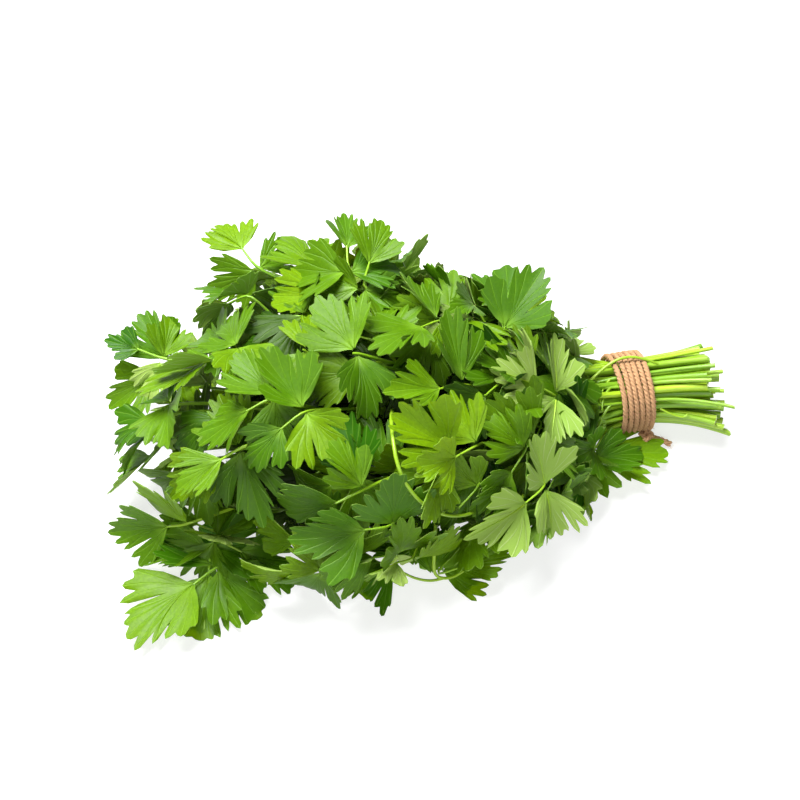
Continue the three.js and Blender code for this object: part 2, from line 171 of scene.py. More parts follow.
def turned(vectors, axis, angle):
    """Vectors turned round a unit axis: the part along it stays, and the rest turns by the angle."""
    cosine, sine = np.cos(angle)[..., None], np.sin(angle)[..., None]
    return vectors * cosine + np.cross(axis, vectors) * sine + axis * dot(axis, vectors) * (1 - cosine)


def tangents(points_at, shares):
    """The unit direction of a path at shares of its way, from two points close by."""
    return unit(points_at(np.minimum(shares + 1e-4, 1)) - points_at(np.maximum(shares - 1e-4, 0)))


def fullness(distance):
    """How full the pile is at a distance from the tie, as a share: a sine hump to the power 0.55."""
    t = np.clip(distance / PILE_LENGTH, 0.002, 0.998)
    return np.sin(np.pi * t**1.1) ** 0.55


def pile_section(distance):
    """The pile's section there: how full it is, its middle's height, and its reach up and down from it."""
    full = fullness(distance)
    middle = np.maximum(TIE_HEIGHT, MIDDLE_HEIGHT * PILE_HEIGHT * full)
    return full, middle, np.maximum(PILE_HEIGHT * full - middle, 6), np.maximum(middle - 4, 6)


def pile_point(distance, angle, share):
    """A point of the pile: an ellipse round the section's middle, scaled by the share of the way out."""
    full, middle, up, down = pile_section(distance)
    reach = np.where(np.sin(angle) > 0, up, down)
    y = share * PILE_HALF_WIDTH * full * np.cos(angle) - PILE_DRIFT * distance
    return beside(-distance, y, middle + share * reach * np.sin(angle))


def pile_normal(distance, angle):
    """The way out of the pile there: round with the angle, tilted by the slope of the fullness."""
    slope = (fullness(distance + 4) - fullness(distance - 4)) / 8
    rise = np.sin(angle) * PILE_HALF_WIDTH / PILE_HEIGHT
    return unit(beside(slope * PILE_HALF_WIDTH, np.cos(angle), rise))


def painted_shade_depth(points):
    """How deep points lie in the pile, from 0 near its surface or ends to 1: its ellipse read back. It
    sets the painted shade that darkens leaflets deep in the pile.
    """
    distance = -points[..., 0]
    full, middle, up, down = pile_section(distance)
    rise = points[..., 2] - middle
    reach = np.where(rise > 0, up, down)
    aside = (points[..., 1] + PILE_DRIFT * distance) / (PILE_HALF_WIDTH * full)
    from_ends = np.minimum((PILE_LENGTH - 30 - distance) / 50, (distance - 25) / 50)
    return np.clip((0.97 - np.hypot(aside, rise / reach)) / 0.45, 0, 1) * np.clip(from_ends, 0, 1)


def turned_up(slot_angle):
    """A slot's angle in the tie, turned towards the top, where a lying bunch has more leaves."""
    return slot_angle + 0.45 * math.cos(slot_angle)


def posed_place(index):
    """Where a posed leaf grows from: back from its tip by its middle leaflet and that one's stalk."""
    tip, back, _, size, _ = POSED_CROWNS[index]
    reach = MIDDLE_SETOUT - ROOT_DEPTH + LEAFLET_LENGTH * size
    return np.array(tip) + reach * unit(np.array(back, float))


def lay_stems(index, tries):
    """Tries at a frond's stem: its slot in the tie on a sunflower's spiral, the place of its crown in the
    pile, and how its cut end and its arch lean."""
    seeds = (100 + index) * 256 + tries
    radius = BUNDLE_RADIUS * math.sqrt((index + 0.5) / FROND_COUNT)
    slot_angle = index * GOLDEN_ANGLE % (2 * math.pi)
    lifted = turned_up(slot_angle)
    if index in POSED_CROWNS:
        aside, up, *rest = draws(seeds, (-0.4, 0.4), (-0.1, 0.4), *STEM_RANGES)
        place = posed_place(index) + beside(0, aside * tries, up * tries)
        distance, angle = -place[:, 0], np.full(len(tries), lifted)
    elif index < INNER_COUNT:
        distance, turn, *rest = draws(seeds, (185, 226), (-0.4, 0.4), *STEM_RANGES)
        angle = lifted + turn
        place = pile_point(distance, angle, 0.15 + 0.75 * math.sqrt((index + 0.5) / INNER_COUNT))
    else:
        nearness = (index - INNER_COUNT) / (FROND_COUNT - INNER_COUNT)
        stray, turn, share, *rest = draws(seeds, (-20, 20), (-0.3, 0.3), (0.82, 0.98), *STEM_RANGES)
        distance, angle = between(nearness, FAR_CROWN, NEAR_CROWN) + stray, lifted + turn
        place = pile_point(distance, angle, share)
    further, lean_y, lean_z, bend = rest
    return Record(
        slot=np.array([[radius * math.cos(slot_angle), radius * math.sin(slot_angle)]]),
        place=place, distance=distance, angle=angle, cut_end=CUT_LENGTH + further, bend=bend,
        lean=beside(CUT_LEAN + lean_y, lean_z), flare=np.array([[CUT_FLARE]]),
    )


def stem_points(stem, shares):
    """Points of stems' paths. x runs evenly from the cut end to the crown. On the cut side the slot
    spreads and leans with the square of x, and beyond the tie it moves to the crown with a power of x."""
    x = stem.cut_end[:, None] * (1 - shares) + stem.place[:, :1] * shares
    out = (x / CUT_LENGTH) ** 2
    way = np.clip(x / stem.place[:, :1], 0, None) ** stem.bend[:, None]
    cut_side, columns = x > 0, [x]
    for axis, flare, base in ((0, stem.flare, 0), (1, 0.9 * stem.flare, TIE_HEIGHT)):
        slot, lean = stem.slot[:, axis, None], stem.lean[:, axis, None]
        spread = base + slot * (1 + flare * out) + lean * out
        columns.append(np.where(cut_side, spread, between(way, base + slot, stem.place[:, axis + 1, None])))
    return beside(*columns)


def leaf_frame(end, growth, facing, size):
    """A leaf's frame: where it grows from, the way it grows, its right-hand side and the way it faces."""
    growth = unit(growth - facing * dot(growth, facing))
    origin, across = end - ROOT_DEPTH * growth, np.cross(growth, facing)
    return Record(origin=origin, growth=growth, across=across, facing=facing, size=size)


def drooping_leaf(points_at, distance, angle):
    """A leaf at a path's end faces out of the pile and grows on along the path, drooping a little."""
    end = np.ones((1, 1))
    growth = tangents(points_at, end)[:, 0] - DROOP * UP
    return leaf_frame(points_at(end)[:, 0], growth, pile_normal(distance, angle), np.ones(len(growth)))


def crown_leaf(index, stem):
    if index not in POSED_CROWNS:
        return drooping_leaf(partial(stem_points, stem), stem.distance, stem.angle)
    _, back, facing, size, _ = POSED_CROWNS[index]
    growth, facing = -np.array([back], float), unit(np.array([facing], float))
    return leaf_frame(stem.place, growth, facing, np.array([size], float))


def bezier_points(branch, shares):
    """Points of curves with one control point: weights (1 - t) squared, 2 t (1 - t) and t squared."""
    weights = [(1 - shares) ** 2, 2 * shares * (1 - shares), shares**2]
    ends = (branch.start, branch.middle, branch.place)
    return sum(weight[..., None] * end[:, None] for weight, end in zip(weights, ends))


def lay_branches(index, stem, number, tries, depths=(0.78, 1.02)):
    """Tries at a side branch and its leaf. It leaves the stem nearer the tie, number 0 to one side and 1 to
    the other, and ends between the two depths, as shares of the way out to the pile's surface."""
    ways = (0.55, 0.92) if index < INNER_COUNT else (0.28, 0.78)
    seeds = (400 + index * 2 + number) * 64 + tries
    way, aside, depth, fork = draws(seeds, ways, (6, 34), depths, (0.5, 0.7))
    distance, aside = stem.distance * way, np.radians(aside + tries)
    angle = stem.angle + (aside if number == 0 else -aside)
    place = pile_point(distance, angle, depth)
    leave = (stem.cut_end + distance * fork) / (stem.cut_end + stem.distance)
    start = stem_points(stem, leave[:, None])[:, 0]
    tangent = tangents(partial(stem_points, stem), leave[:, None])[:, 0]
    length = np.linalg.norm(place - start, axis=-1, keepdims=True)
    middle = start + 0.35 * (place - start) + 0.2 * length * tangent
    branch = Record(start=start, middle=middle, place=place, side=unit(np.cross(tangent, place - start)))
    return branch, drooping_leaf(partial(bezier_points, branch), distance, angle)


# The three leaflets of a leaf: how far each is turned from the leaf's growth, and the place of its base
# sideways and along
PAIR_TURN = math.radians(84)
LEAFLET_PLACES = [
    (0, 0, MIDDLE_SETOUT),
    (-PAIR_TURN, HUB_HALF_WIDTH, PAIR_BASE / 2),
    (PAIR_TURN, -HUB_HALF_WIDTH, PAIR_BASE / 2),
]
# The ranges of a leaflet's draws: its length as a share, its turn, roll and pitch in degrees, how far it
# curls down and how far it folds up
LEAFLET_RANGES = [(0.84, 1.18), (-12, 12), (-36, 36), (-24, 34), (0.002, 0.03), (0.1, 0.7)]


def lay_leaflets(index, number, which, leaf, tries):
    """Tries at one leaflet: the leaf's directions turned, rolled and pitched further with each try."""
    seeds = (index * 16 + number * 4 + which) * 64 + tries
    longer, turn, roll, pitch, curl, fold = draws(seeds, *LEAFLET_RANGES)
    stray = 0.6 + np.minimum(tries, 40) / 50
    place_turn, sideways, along = LEAFLET_PLACES[which]
    growth = turned(leaf.growth, leaf.facing, place_turn + np.radians(turn) * stray)
    facing = turned(np.broadcast_to(leaf.facing, growth.shape), growth, np.radians(roll) * stray)
    across = np.cross(growth, facing)
    pitch = np.radians(pitch) * stray
    base = leaf.origin + sideways * leaf.across + along * leaf.growth
    base[:, 2] = np.maximum(base[:, 2], 0)
    return Record(
        base=np.broadcast_to(base, growth.shape), across=across, curl=curl, fold=fold,
        growth=turned(growth, across, -pitch), facing=turned(facing, across, -pitch),
        size=leaf.size * LEAFLET_LENGTH * longer * (1 - 0.004 * tries),
    )


def leaflet_points(leaflet, sideways, along, level):
    """Points of leaflets, from places as shares of their length. The rib bends down on a circle of
    curvature curl, the halves rise from it to a slope of fold, and level lifts a point off the blade."""
    size, curl, fold = (value[:, None] for value in (leaflet.size, leaflet.curl, leaflet.fold))
    bend = curl * along * size
    forward, drop = np.sin(bend) / curl, (1 - np.cos(bend)) / curl
    aside = np.abs(sideways * size)
    rise = fold * aside**2 / (aside + 4) + level
    steps = (
        (leaflet.across, sideways * size * np.cos(0.8 * fold)),
        (leaflet.growth, forward + rise * np.sin(bend)),
        (leaflet.facing, rise * np.cos(bend) - drop),
    )
    return leaflet.base[:, None] + sum(direction[:, None] * step[..., None] for direction, step in steps)


def one(piece, index):
    """One try, or one piece, out of a row of them."""
    chosen = slice(index, index + 1)
    rows = {name: value[chosen] if len(value) > 1 else value for name, value in vars(piece).items()}
    return Record(**rows)


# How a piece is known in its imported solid, whose draws it repeats: it is the try that the solid's corners
# lie on
CORNER_GAP = 0.05
SEEN_CORNERS = 3


def squared_gaps(points, others):
    """The squared distances from points to all the others."""
    return (points**2).sum(-1)[..., None] + (others**2).sum(-1) - 2 * points @ others.T


def found_try(corners, points):
    """The try with the most points on a solid's corners, or None if it has too few of them."""
    points = points.reshape(len(points), -1, 3)
    seen = (squared_gaps(points, corners).min(axis=-1) < CORNER_GAP**2).sum(axis=-1)
    best = int(seen.argmax())
    return best if seen[best] >= SEEN_CORNERS else None


def corner_turns(sides):
    return 2 * np.pi * np.arange(sides) / sides


def ring_ways(along, side, sides):
    """The ways out to a ring's corners, square to a path: they turn from over towards across."""
    across = unit(np.cross(along, side))[..., None, :]
    over = np.cross(across, along[..., None, :])
    turns = corner_turns(sides)[:, None]
    return across * np.sin(turns) + over * np.cos(turns)


def ring_points(points_at, side, radii, sides, shares):
    """Rings of points round a path."""
    radius = between(shares, *radii)[..., None, None]
    return points_at(shares)[..., None, :] + radius * ring_ways(tangents(points_at, shares), side, sides)


def grown_frond(index):
    """One packed frond: its stem, branches and leaflets, each as the try that stands there."""
    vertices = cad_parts[f"leafy_stem_{index + 1:02d}"].data.vertices
    corners = np.empty(len(vertices) * 3)
    vertices.foreach_get("co", corners)
    corners = np.unique((corners.reshape(-1, 3) * 1000).round(4), axis=0)
    stems = lay_stems(index, np.arange(STEM_TRIES))
    shares = np.arange(4)[None] / 6
    rings = ring_points(partial(stem_points, stems), UP, STEM_RADII, SOLID_STEM_SIDES, shares)
    stem = one(stems, found_try(corners, rings))
    frond = Record(stem=stem, leaves=[crown_leaf(index, stem)], branches=[], leaflets=[])
    for number in [index % 2] if index < INNER_COUNT else [0, 1]:
        if stem.distance[0] < BRANCHED_FROM:
            continue
        tries, leaves = lay_branches(index, stem, number, np.arange(BRANCH_TRIES))
        shares = np.array([[1, 2]]) / 3
        side = tries.side[:, None]
        rings = ring_points(partial(bezier_points, tries), side, BRANCH_RADII, SOLID_BRANCH_SIDES, shares)
        found = found_try(corners, rings)
        if found is not None:
            frond.branches.append(one(tries, found))
            frond.leaves.append(one(leaves, found))
    edge = np.array([[0.5, 0.48], [0.31, 0.85], [0, 1], [-0.31, 0.85], [-0.5, 0.48]])
    for number, leaf in enumerate(frond.leaves):
        for which in range(len(LEAFLET_PLACES)):
            tries = lay_leaflets(index, number, which, leaf, np.arange(LEAFLET_TRIES))
            faces = [leaflet_points(tries, *edge.T, level) for level in (SOLID_BLADE / 2, -SOLID_BLADE / 2)]
            found = found_try(corners, np.concatenate(faces, axis=1))
            if found is not None:
                frond.leaflets.append((number, which, one(tries, found)))
    return frond


fronds = [grown_frond(index) for index in range(FROND_COUNT)]

# The blades: a leaflet is a wedge with three lobes, cut into eleven rounded teeth, each with a vein to
# its tip. From the side to the middle: the angle of each tooth's edge, how far the cut there reaches as a
# share of the length, and how far the tooth between it and the next reaches.
TOOTH_EDGES = np.radians([60, 50, 36, 23, 15, 6])
CUT_REACH = np.array([0.36, 0.63, 0.67, 0.41, 0.74, 0.86])
TOOTH_REACH = np.array([0.66, 0.78, 0.77, 0.82, 0.94])
TEETH = 11
SINUSES = [3, 8]  # the cuts between the lobes
LOBE_OF_TOOTH = np.array([0, 0, 0, 1, 1, 1, 1, 1, 2, 2, 2])
MAIN_VEINS = np.array([1, 5, 9])  # the teeth that the lobes' own veins run to
BLADE_HALF = 0.15
QUILT = 0.14  # how far the blade stands up between its veins
RUFFLE = 2.3
LOBE_LIFT = 16.0
RIB_STANDS_OFF = 0.2
RAYS_IN_TOOTH = 4
FINE_RINGS, PLAIN_RINGS = 8, 5


def blade_shapes(count, rings, rng):
    """Blades on a grid of rays and rings: places sideways and along, heights, distances off a vein, and
    ways out. A ray's angle runs evenly over its tooth, and its reach is the line between the two cuts
    plus a hump, sin(pi t) to 0.75, up to the tooth's reach. Rays draw together towards the base, and
    those of a lobe to its main vein. The height is a quilt between veins, a wave along the edge, and
    each lobe's lift with its reach squared."""
    spread = rng.uniform(0.86, 1.12, (count, 2)).repeat(len(TOOTH_EDGES), axis=1)
    edges = np.concatenate([TOOTH_EDGES, -TOOTH_EDGES[::-1]]) * spread
    edges += np.radians(rng.uniform(-1.2, 1.2, edges.shape))
    cuts = np.concatenate([CUT_REACH, CUT_REACH[::-1]]) * rng.uniform(0.93, 1.05, (count, TEETH + 1))
    cuts[:, SINUSES] *= rng.uniform(0.78, 1.2, (count, 2))
    tips = np.concatenate([TOOTH_REACH, [1], TOOTH_REACH[::-1]]) * rng.uniform(0.91, 1.04, (count, TEETH))
    tips *= np.where(LOBE_OF_TOOTH == 1, 1, rng.uniform(0.9, 1.12, (count, 3))[:, LOBE_OF_TOOTH])
    ray = np.arange(TEETH * RAYS_IN_TOOTH + 1) / RAYS_IN_TOOTH
    tooth = np.minimum(ray.astype(int), TEETH - 1)
    across = ray - tooth
    angle = edges[:, tooth] * (1 - across) + edges[:, tooth + 1] * across
    line = cuts[:, tooth] * (1 - across) + cuts[:, tooth + 1] * across
    reach = line + (tips[:, tooth] - line) * np.sin(np.pi * across) ** 0.75
    ring = np.linspace(0.05, 1, rings) ** 0.85
    main = MAIN_VEINS[LOBE_OF_TOOTH[tooth]]
    vein_angle = (edges[:, main] + edges[:, main + 1]) / 2
    inside = np.isin(ray, [0, *SINUSES, TEETH], invert=True)
    drawn = (0.75 * (1 - np.minimum(ring / 0.85, 1)) ** 0.8)[None, None] * inside[:, None]
    turn = angle[..., None] + (vein_angle - angle)[..., None] * drawn
    turn = turn * (0.5 + 0.5 * np.sin(np.pi / 2 * np.minimum(ring / 0.6, 1)))
    radius = reach[..., None] * ring
    off_vein = np.abs(2 * across - 1)[None, :, None]
    quilt = QUILT * (1 - (1 - off_vein) ** 2) * np.sin(np.pi * 0.85 * ring)
    wave_phase, wave_length = rng.uniform(0, 2 * np.pi, (count, 1)), rng.uniform(0.5, 1.1, (count, 1))
    wave = rng.uniform(0.2, RUFFLE, (count, 1)) * np.sin(wave_length * ray + wave_phase)
    lift = LOBE_LIFT * rng.uniform(-1, 0.8, (count, 3))[:, LOBE_OF_TOOTH[tooth]]
    height = quilt + wave[..., None] * ring**2 + lift[..., None] * np.maximum(radius - 0.4, 0) ** 2
    width = np.abs(np.diff(edges, axis=1))[:, tooth, None]
    minor = ~np.isin(tooth, MAIN_VEINS)[None, :, None]
    off_vein = off_vein / 2 * width * radius + minor * 0.02 * np.maximum(0.65 - ring, 0)
    parts = [radius * np.sin(turn), radius * np.cos(turn), height, off_vein, radius]
    return [part.reshape(count, -1) for part in parts]


def slab_faces(rays, rings):
    """Faces of a thin closed slab on a grid: the upper face, the lower one the other way round, and a
    strip round the rim."""
    grid = np.arange(rays * rings).reshape(rays, rings)
    upper = beside(grid[:-1, :-1], grid[:-1, 1:], grid[1:, 1:], grid[1:, :-1]).reshape(-1, 4)
    rim = np.concatenate([grid[0, :-1], grid[:-1, -1], grid[-1, :0:-1], grid[:0:-1, 0]])
    after = np.roll(rim, -1)
    strip = beside(rim, rim + grid.size, after + grid.size, after)
    return np.concatenate([upper, upper[:, ::-1] + grid.size, strip])


def leaflet_marks(leaflets):
    """A few points spread over each leaflet."""
    sideways = np.array([0, 0.3, -0.3, 0.5, -0.5, 0, 0.2, -0.2, 0])
    along = np.array([0.3, 0.4, 0.4, 0.5, 0.5, 0.65, 0.8, 0.8, 1])
    return leaflet_points(leaflets, sideways, along, 0)


def stack_pieces(pieces):
    """Several pieces of one kind as one row of them."""
    rows = {name: np.concatenate([vars(p)[name] for p in pieces]) for name in vars(pieces[0])}
    return Record(**rows)


def blade_surface(leaflets, rings, tints, over, rng):
    """The closed blades of a row of leaflets, as one surface. Its values are the distance from a vein in
    millimetres, the share of the way out, and 1 on the underside, which is up where over is 1. The ribs
    run along the middle of the underside."""
    count, rays = len(leaflets.size), TEETH * RAYS_IN_TOOTH + 1
    sideways, along, height, off_vein, out = blade_shapes(count, rings, rng)
    faces_up, values = [], []
    for side, under in ((1, 0), (-1, 1)):
        points = leaflet_points(leaflets, sideways, along, height + side * BLADE_HALF)
        lowest = np.where(side * leaflets.facing[:, 2:] > 0, 2 * BLADE_HALF, 0)
        points[..., 2] = np.maximum(points[..., 2], lowest)
        faces_up.append(points)
        values.append(beside(off_vein * leaflets.size[:, None], out, np.abs(under - over)[:, None]))
    points, values = np.concatenate(faces_up, axis=1), np.concatenate(values, axis=1)
    faces = slab_faces(rays, rings) + np.arange(count)[:, None, None] * points.shape[1]
    middle = (rays // 2) * rings + np.arange(rings)
    above, below = (face[:, middle] for face in faces_up)
    off = RIB_STANDS_OFF * leaflets.facing[:, None]
    return Record(
        points=points.reshape(-1, 3), quads=faces.reshape(-1, 4), triangles=np.empty((0, 3), int),
        values=values.reshape(-1, 3), tints=np.repeat(tints, points.shape[1], axis=0), material=0,
        ribs=np.where(over[:, None, None] > 0, above + off, below - off),
    )


def tube_faces(rows, sides):
    """The corners' numbers on rings along a tube, the next corner round for each, and the quads."""
    grid = np.arange(rows * sides).reshape(rows, sides)
    after = np.roll(grid, -1, axis=1)
    return grid, after, beside(grid[:-1], after[:-1], after[1:], grid[1:]).reshape(-1, 4)


def stalk_surface(points, radii, sides, side, tint, ridge=0.0, cut=0.0):
    """A closed round stalk along a path: rings of the given radii, every other corner higher by the
    ridge, with a point in the middle of each end. Its values are the share of the way along, the ridge's
    height, and 1 on the cut face, which leans by the tangent cut."""
    along = unit(np.gradient(points, axis=0))
    ridges = np.where(np.arange(sides) % 2, -1, 1)
    reach = (radii[:, None] * (1 + ridge * ridges))[..., None]
    rings = points[:, None] + ring_ways(along, side, sides) * reach
    rings[:2] += along[:2, None] * (cut * radii[0] * np.cos(corner_turns(sides)))[:, None]
    rings[..., 2] = np.maximum(rings[..., 2], 0)
    grid, after, quads = tube_faces(len(rings), sides)
    ends = [beside(grid.size, after[0], grid[0]), beside(grid.size + 1, grid[-1], after[-1])]
    shares = np.linspace(0, 1, len(points))[:, None]
    values = beside(shares, ridges, 0.0)
    values[0, :, 2] = 0.5
    values = np.concatenate([values.reshape(-1, 3), [[0, 0, 1], [1, 0, 0]]])
    return Record(
        points=np.concatenate([rings.reshape(-1, 3), points[[0, -1]]]),
        quads=quads, triangles=np.concatenate(ends),
        values=values, tints=np.broadcast_to(tint, (len(values), 3)), material=1,
    )


def smoothed(points, times):
    """A path's inner points become half of themselves and a quarter of each neighbour, so many times."""
    for _ in range(times):
        points[1:-1] = points[:-2] / 4 + points[1:-1] / 2 + points[2:] / 4
    return points


CREASE_ANGLE = math.radians(65)


def make_piece(name, surfaces, materials, replaced=()):
    """One object of closed surfaces, in metres, with their values and tints at every vertex."""
    starts = np.cumsum([0] + [len(surface.points) for surface in surfaces])
    faces, numbers = [], []
    for start, surface in zip(starts, surfaces):
        own = (surface.quads + start).tolist() + (surface.triangles + start).tolist()
        faces += own
        numbers += [surface.material] * len(own)
    points = np.concatenate([surface.points for surface in surfaces]) / 1000
    mesh = bpy.data.meshes.new(name)
    mesh.from_pydata(np.clip(points, *cad_box), [], faces)
    mesh.polygons.foreach_set("material_index", numbers)
    mesh.polygons.foreach_set("use_smooth", np.ones(len(faces), bool))
    for attribute, rows in (("place", "values"), ("tint", "tints")):
        data = mesh.attributes.new(attribute, "FLOAT_VECTOR", "POINT").data
        data.foreach_set("vector", np.concatenate([vars(surface)[rows] for surface in surfaces]).ravel())
    mesh.set_sharp_from_angle(angle=CREASE_ANGLE)
    for material in materials:
        mesh.materials.append(material)
    piece = new_object(name, mesh)
    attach(piece, "root")
    if replaced:
        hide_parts(*replaced)


class Value:
    """A number on a material's socket, so that sums of them are written out as sums."""

    def __init__(self, finish, socket):
        self.finish, self.socket = finish, socket

    def with_(self, operation, other):
        return self.finish.node("Math", {0: self, 1: other}, operation=operation)

    def __add__(self, other):
        return self.with_("ADD", other)

    def __sub__(self, other):
        return self.with_("SUBTRACT", other)

    def __mul__(self, other):
        return self.with_("MULTIPLY", other)


def srgb(red, green, blue):
    """A colour's light as shares of white, from a screen's numbers: the power 2.2."""
    return tuple((part / 255) ** 2.2 for part in (red, green, blue)) + (1,)


class Finish:
    """The nodes of a material or a world in the making."""

    def __init__(self, made_for):
        self.made_for = made_for
        made_for.use_nodes = True
        self.tree = made_for.node_tree
        self.tree.nodes.clear()

    def node(self, kind, inputs, output=0, **settings):
        """A node of that kind: its settings are set first, then its sockets' values or links."""
        made = self.tree.nodes.new("ShaderNode" + kind)
        for name, value in settings.items():
            setattr(made, name, value)
        for name, value in inputs.items():
            if isinstance(value, Value):
                self.tree.links.new(value.socket, made.inputs[name])
            else:
                made.inputs[name].default_value = value
        return Value(self, made.outputs[output] if made.outputs else None)

    def mix(self, share, *colours):
        """A mix of two colours, each a socket or the numbers that a screen shows."""
        first, second = (srgb(*colour) if isinstance(colour, tuple) else colour for colour in colours)
        return self.node("Mix", {0: share, 6: first, 7: second}, 2, data_type="RGBA")

    def fade(self, value, start, end):
        """1 where the value is at start, falling smoothly to 0 at end."""
        limits = {"Value": value, "From Min": start, "From Max": end, "To Min": 1.0, "To Max": 0.0}
        return self.node("MapRange", limits, interpolation_type="SMOOTHSTEP")

    def parts(self, attribute):
        """The three numbers of an attribute of the mesh."""
        vector = self.node("Attribute", {}, "Vector", attribute_name=attribute)
        return [self.node("SeparateXYZ", {0: vector}, axis) for axis in "XYZ"]

    def noise(self, scale, detail=2.0, stretch=(1, 1, 1)):
        place = self.node("TexCoord", {}, "Object")
        place = self.node("Mapping", {"Vector": place, "Scale": stretch})
        return self.node("TexNoise", {"Vector": place, "Scale": scale, "Detail": detail})

    def surface(self, sockets):
        return self.node("BsdfPrincipled", sockets)

    def finished(self, surface):
        self.node("OutputMaterial", {"Surface": surface})
        return self.made_for

    def bump(self, strength, distance, height):
        sockets = {"Strength": strength, "Distance": distance, "Height": height}
        return self.node("Bump", sockets)


# The blade's finish: deep green above with a soft waxy gloss, pale and matt below, with paler veins, sunk
# above and raised below, and yellow-green light through it. Leaflets deep in the pile get painted shade,
# darker towards near black in their colour and in the light through them.
def blade_finish():
    finish = Finish(bpy.data.materials.new("parsley_blade"))
    off_vein, reach, under = finish.parts("place")
    # The tint: tone, freshness, and depth, which is painted shade by how deep a leaflet lies in the pile
    tone, freshness, depth = finish.parts("tint")
    patches, grain = finish.noise(70.0), finish.noise(900.0, 3.0)
    upper = finish.mix(tone, (36, 82, 0), (132, 168, 12))
    upper = finish.mix(patches * 0.4, upper, (84, 142, 0))
    upper = finish.mix(finish.fade(grain, 0.62, 0.3) * 0.3, upper, (40, 84, 4))
    lower = finish.mix(freshness, (132, 172, 66), (176, 206, 102))
    lower = finish.mix(grain * 0.3, lower, (124, 164, 60))
    vein = finish.fade(off_vein, 0.07, 0.3)
    upper = finish.mix(vein * 0.35, upper, (140, 192, 60))
    lower = finish.mix(vein * 0.5, lower, (206, 228, 150))
    colour = finish.mix(under, upper, lower)
    colour = finish.mix(finish.fade(reach, 0.06, 0.3) * 0.45, colour, (150, 200, 60))
    # Painted shade: leaflets deep in the pile are darkened towards near black, as the leaves round them
    # shade them
    colour = finish.mix(depth * 0.88, colour, (12, 32, 1))
    groove = finish.fade(off_vein, 0.05, 0.4) * (under * 1.2 - 0.6)
    bump = finish.bump(0.6, 0.0004, groove + grain * 0.35)
    skin = finish.surface({
        "Base Color": colour,
        "Roughness": under * 0.15 + patches * 0.14 + 0.38,
        "Specular IOR Level": 0.26,
        "Normal": bump,
    })
    through = finish.mix(tone, (110, 164, 0), (180, 194, 14))
    # The same painted shade darkens the light through deep leaflets
    through = finish.mix(depth * 0.88, through, (12, 32, 1))
    glow = finish.node("BsdfTranslucent", {"Color": through, "Normal": bump})
    both = finish.node("MixShader", {0: 0.38, 1: skin, 2: glow})
    return finish.finished(both)


# The stalk's finish: pale yellow-green with lengthwise ribs and streaks, greener towards the leaves, and
# a pale wet cut face
def stalk_finish():
    finish = Finish(bpy.data.materials.new("parsley_stalk"))
    along, rib, cut = finish.parts("place")
    tone = finish.parts("tint")[0]
    streaks = finish.noise(1.0, 2.0, (40, 1100, 1100))
    skin = finish.mix(tone, (80, 132, 6), (160, 192, 34))
    skin = finish.mix(along * 0.45, skin, (100, 160, 10))
    skin = finish.mix(streaks * 0.3, skin, (190, 212, 76))
    skin = finish.mix(rib * 0.16 + 0.16, skin, (76, 130, 4))
    colour = finish.mix(finish.fade(cut, 0.65, 0.5), skin, (202, 218, 120))
    bump = finish.bump(0.35, 0.0003, streaks)
    rough = streaks * 0.2 + 0.26
    return finish.finished(finish.surface({"Base Color": colour, "Roughness": rough, "Normal": bump}))


parsley = [blade_finish(), stalk_finish()]

# The fronds' surfaces: how finely their stalks are made, and which leaves show their undersides
STEM_STATIONS, BRANCH_STATIONS = 34, 18
STEM_SIDES, BRANCH_SIDES, RIB_SIDES = 12, 8, 4
RIB_RADII = (0.42, 0.08)
PALE_FROND = 30  # all its leaves are turned over
TURNED_OVER = 0.07  # the share of the other leaflets that are


def stalk_to_leaf(points_at, stations, radii, leaf, middle_leaflet, side, sides, tint, ridge, cut):
    """A stalk's surface from its start to its leaf, and on to the middle leaflet if it is there."""
    shares = np.linspace(0, 1, stations)
    points = points_at(shares[None])[0]
    reach = np.linspace(3, MIDDLE_SETOUT + 1.5, 5) if middle_leaflet else np.array([1.5, 2.5])
    further = leaf.origin + reach[:, None] * leaf.growth
    points = smoothed(np.concatenate([points, further]), 3)
    radii = np.concatenate([between(shares, *radii), np.linspace(radii[1] * 0.9, 0.45, len(reach))])
    points[:, 2] = np.maximum(points[:, 2], radii)
    return stalk_surface(points, radii, sides, side, tint, ridge, cut)


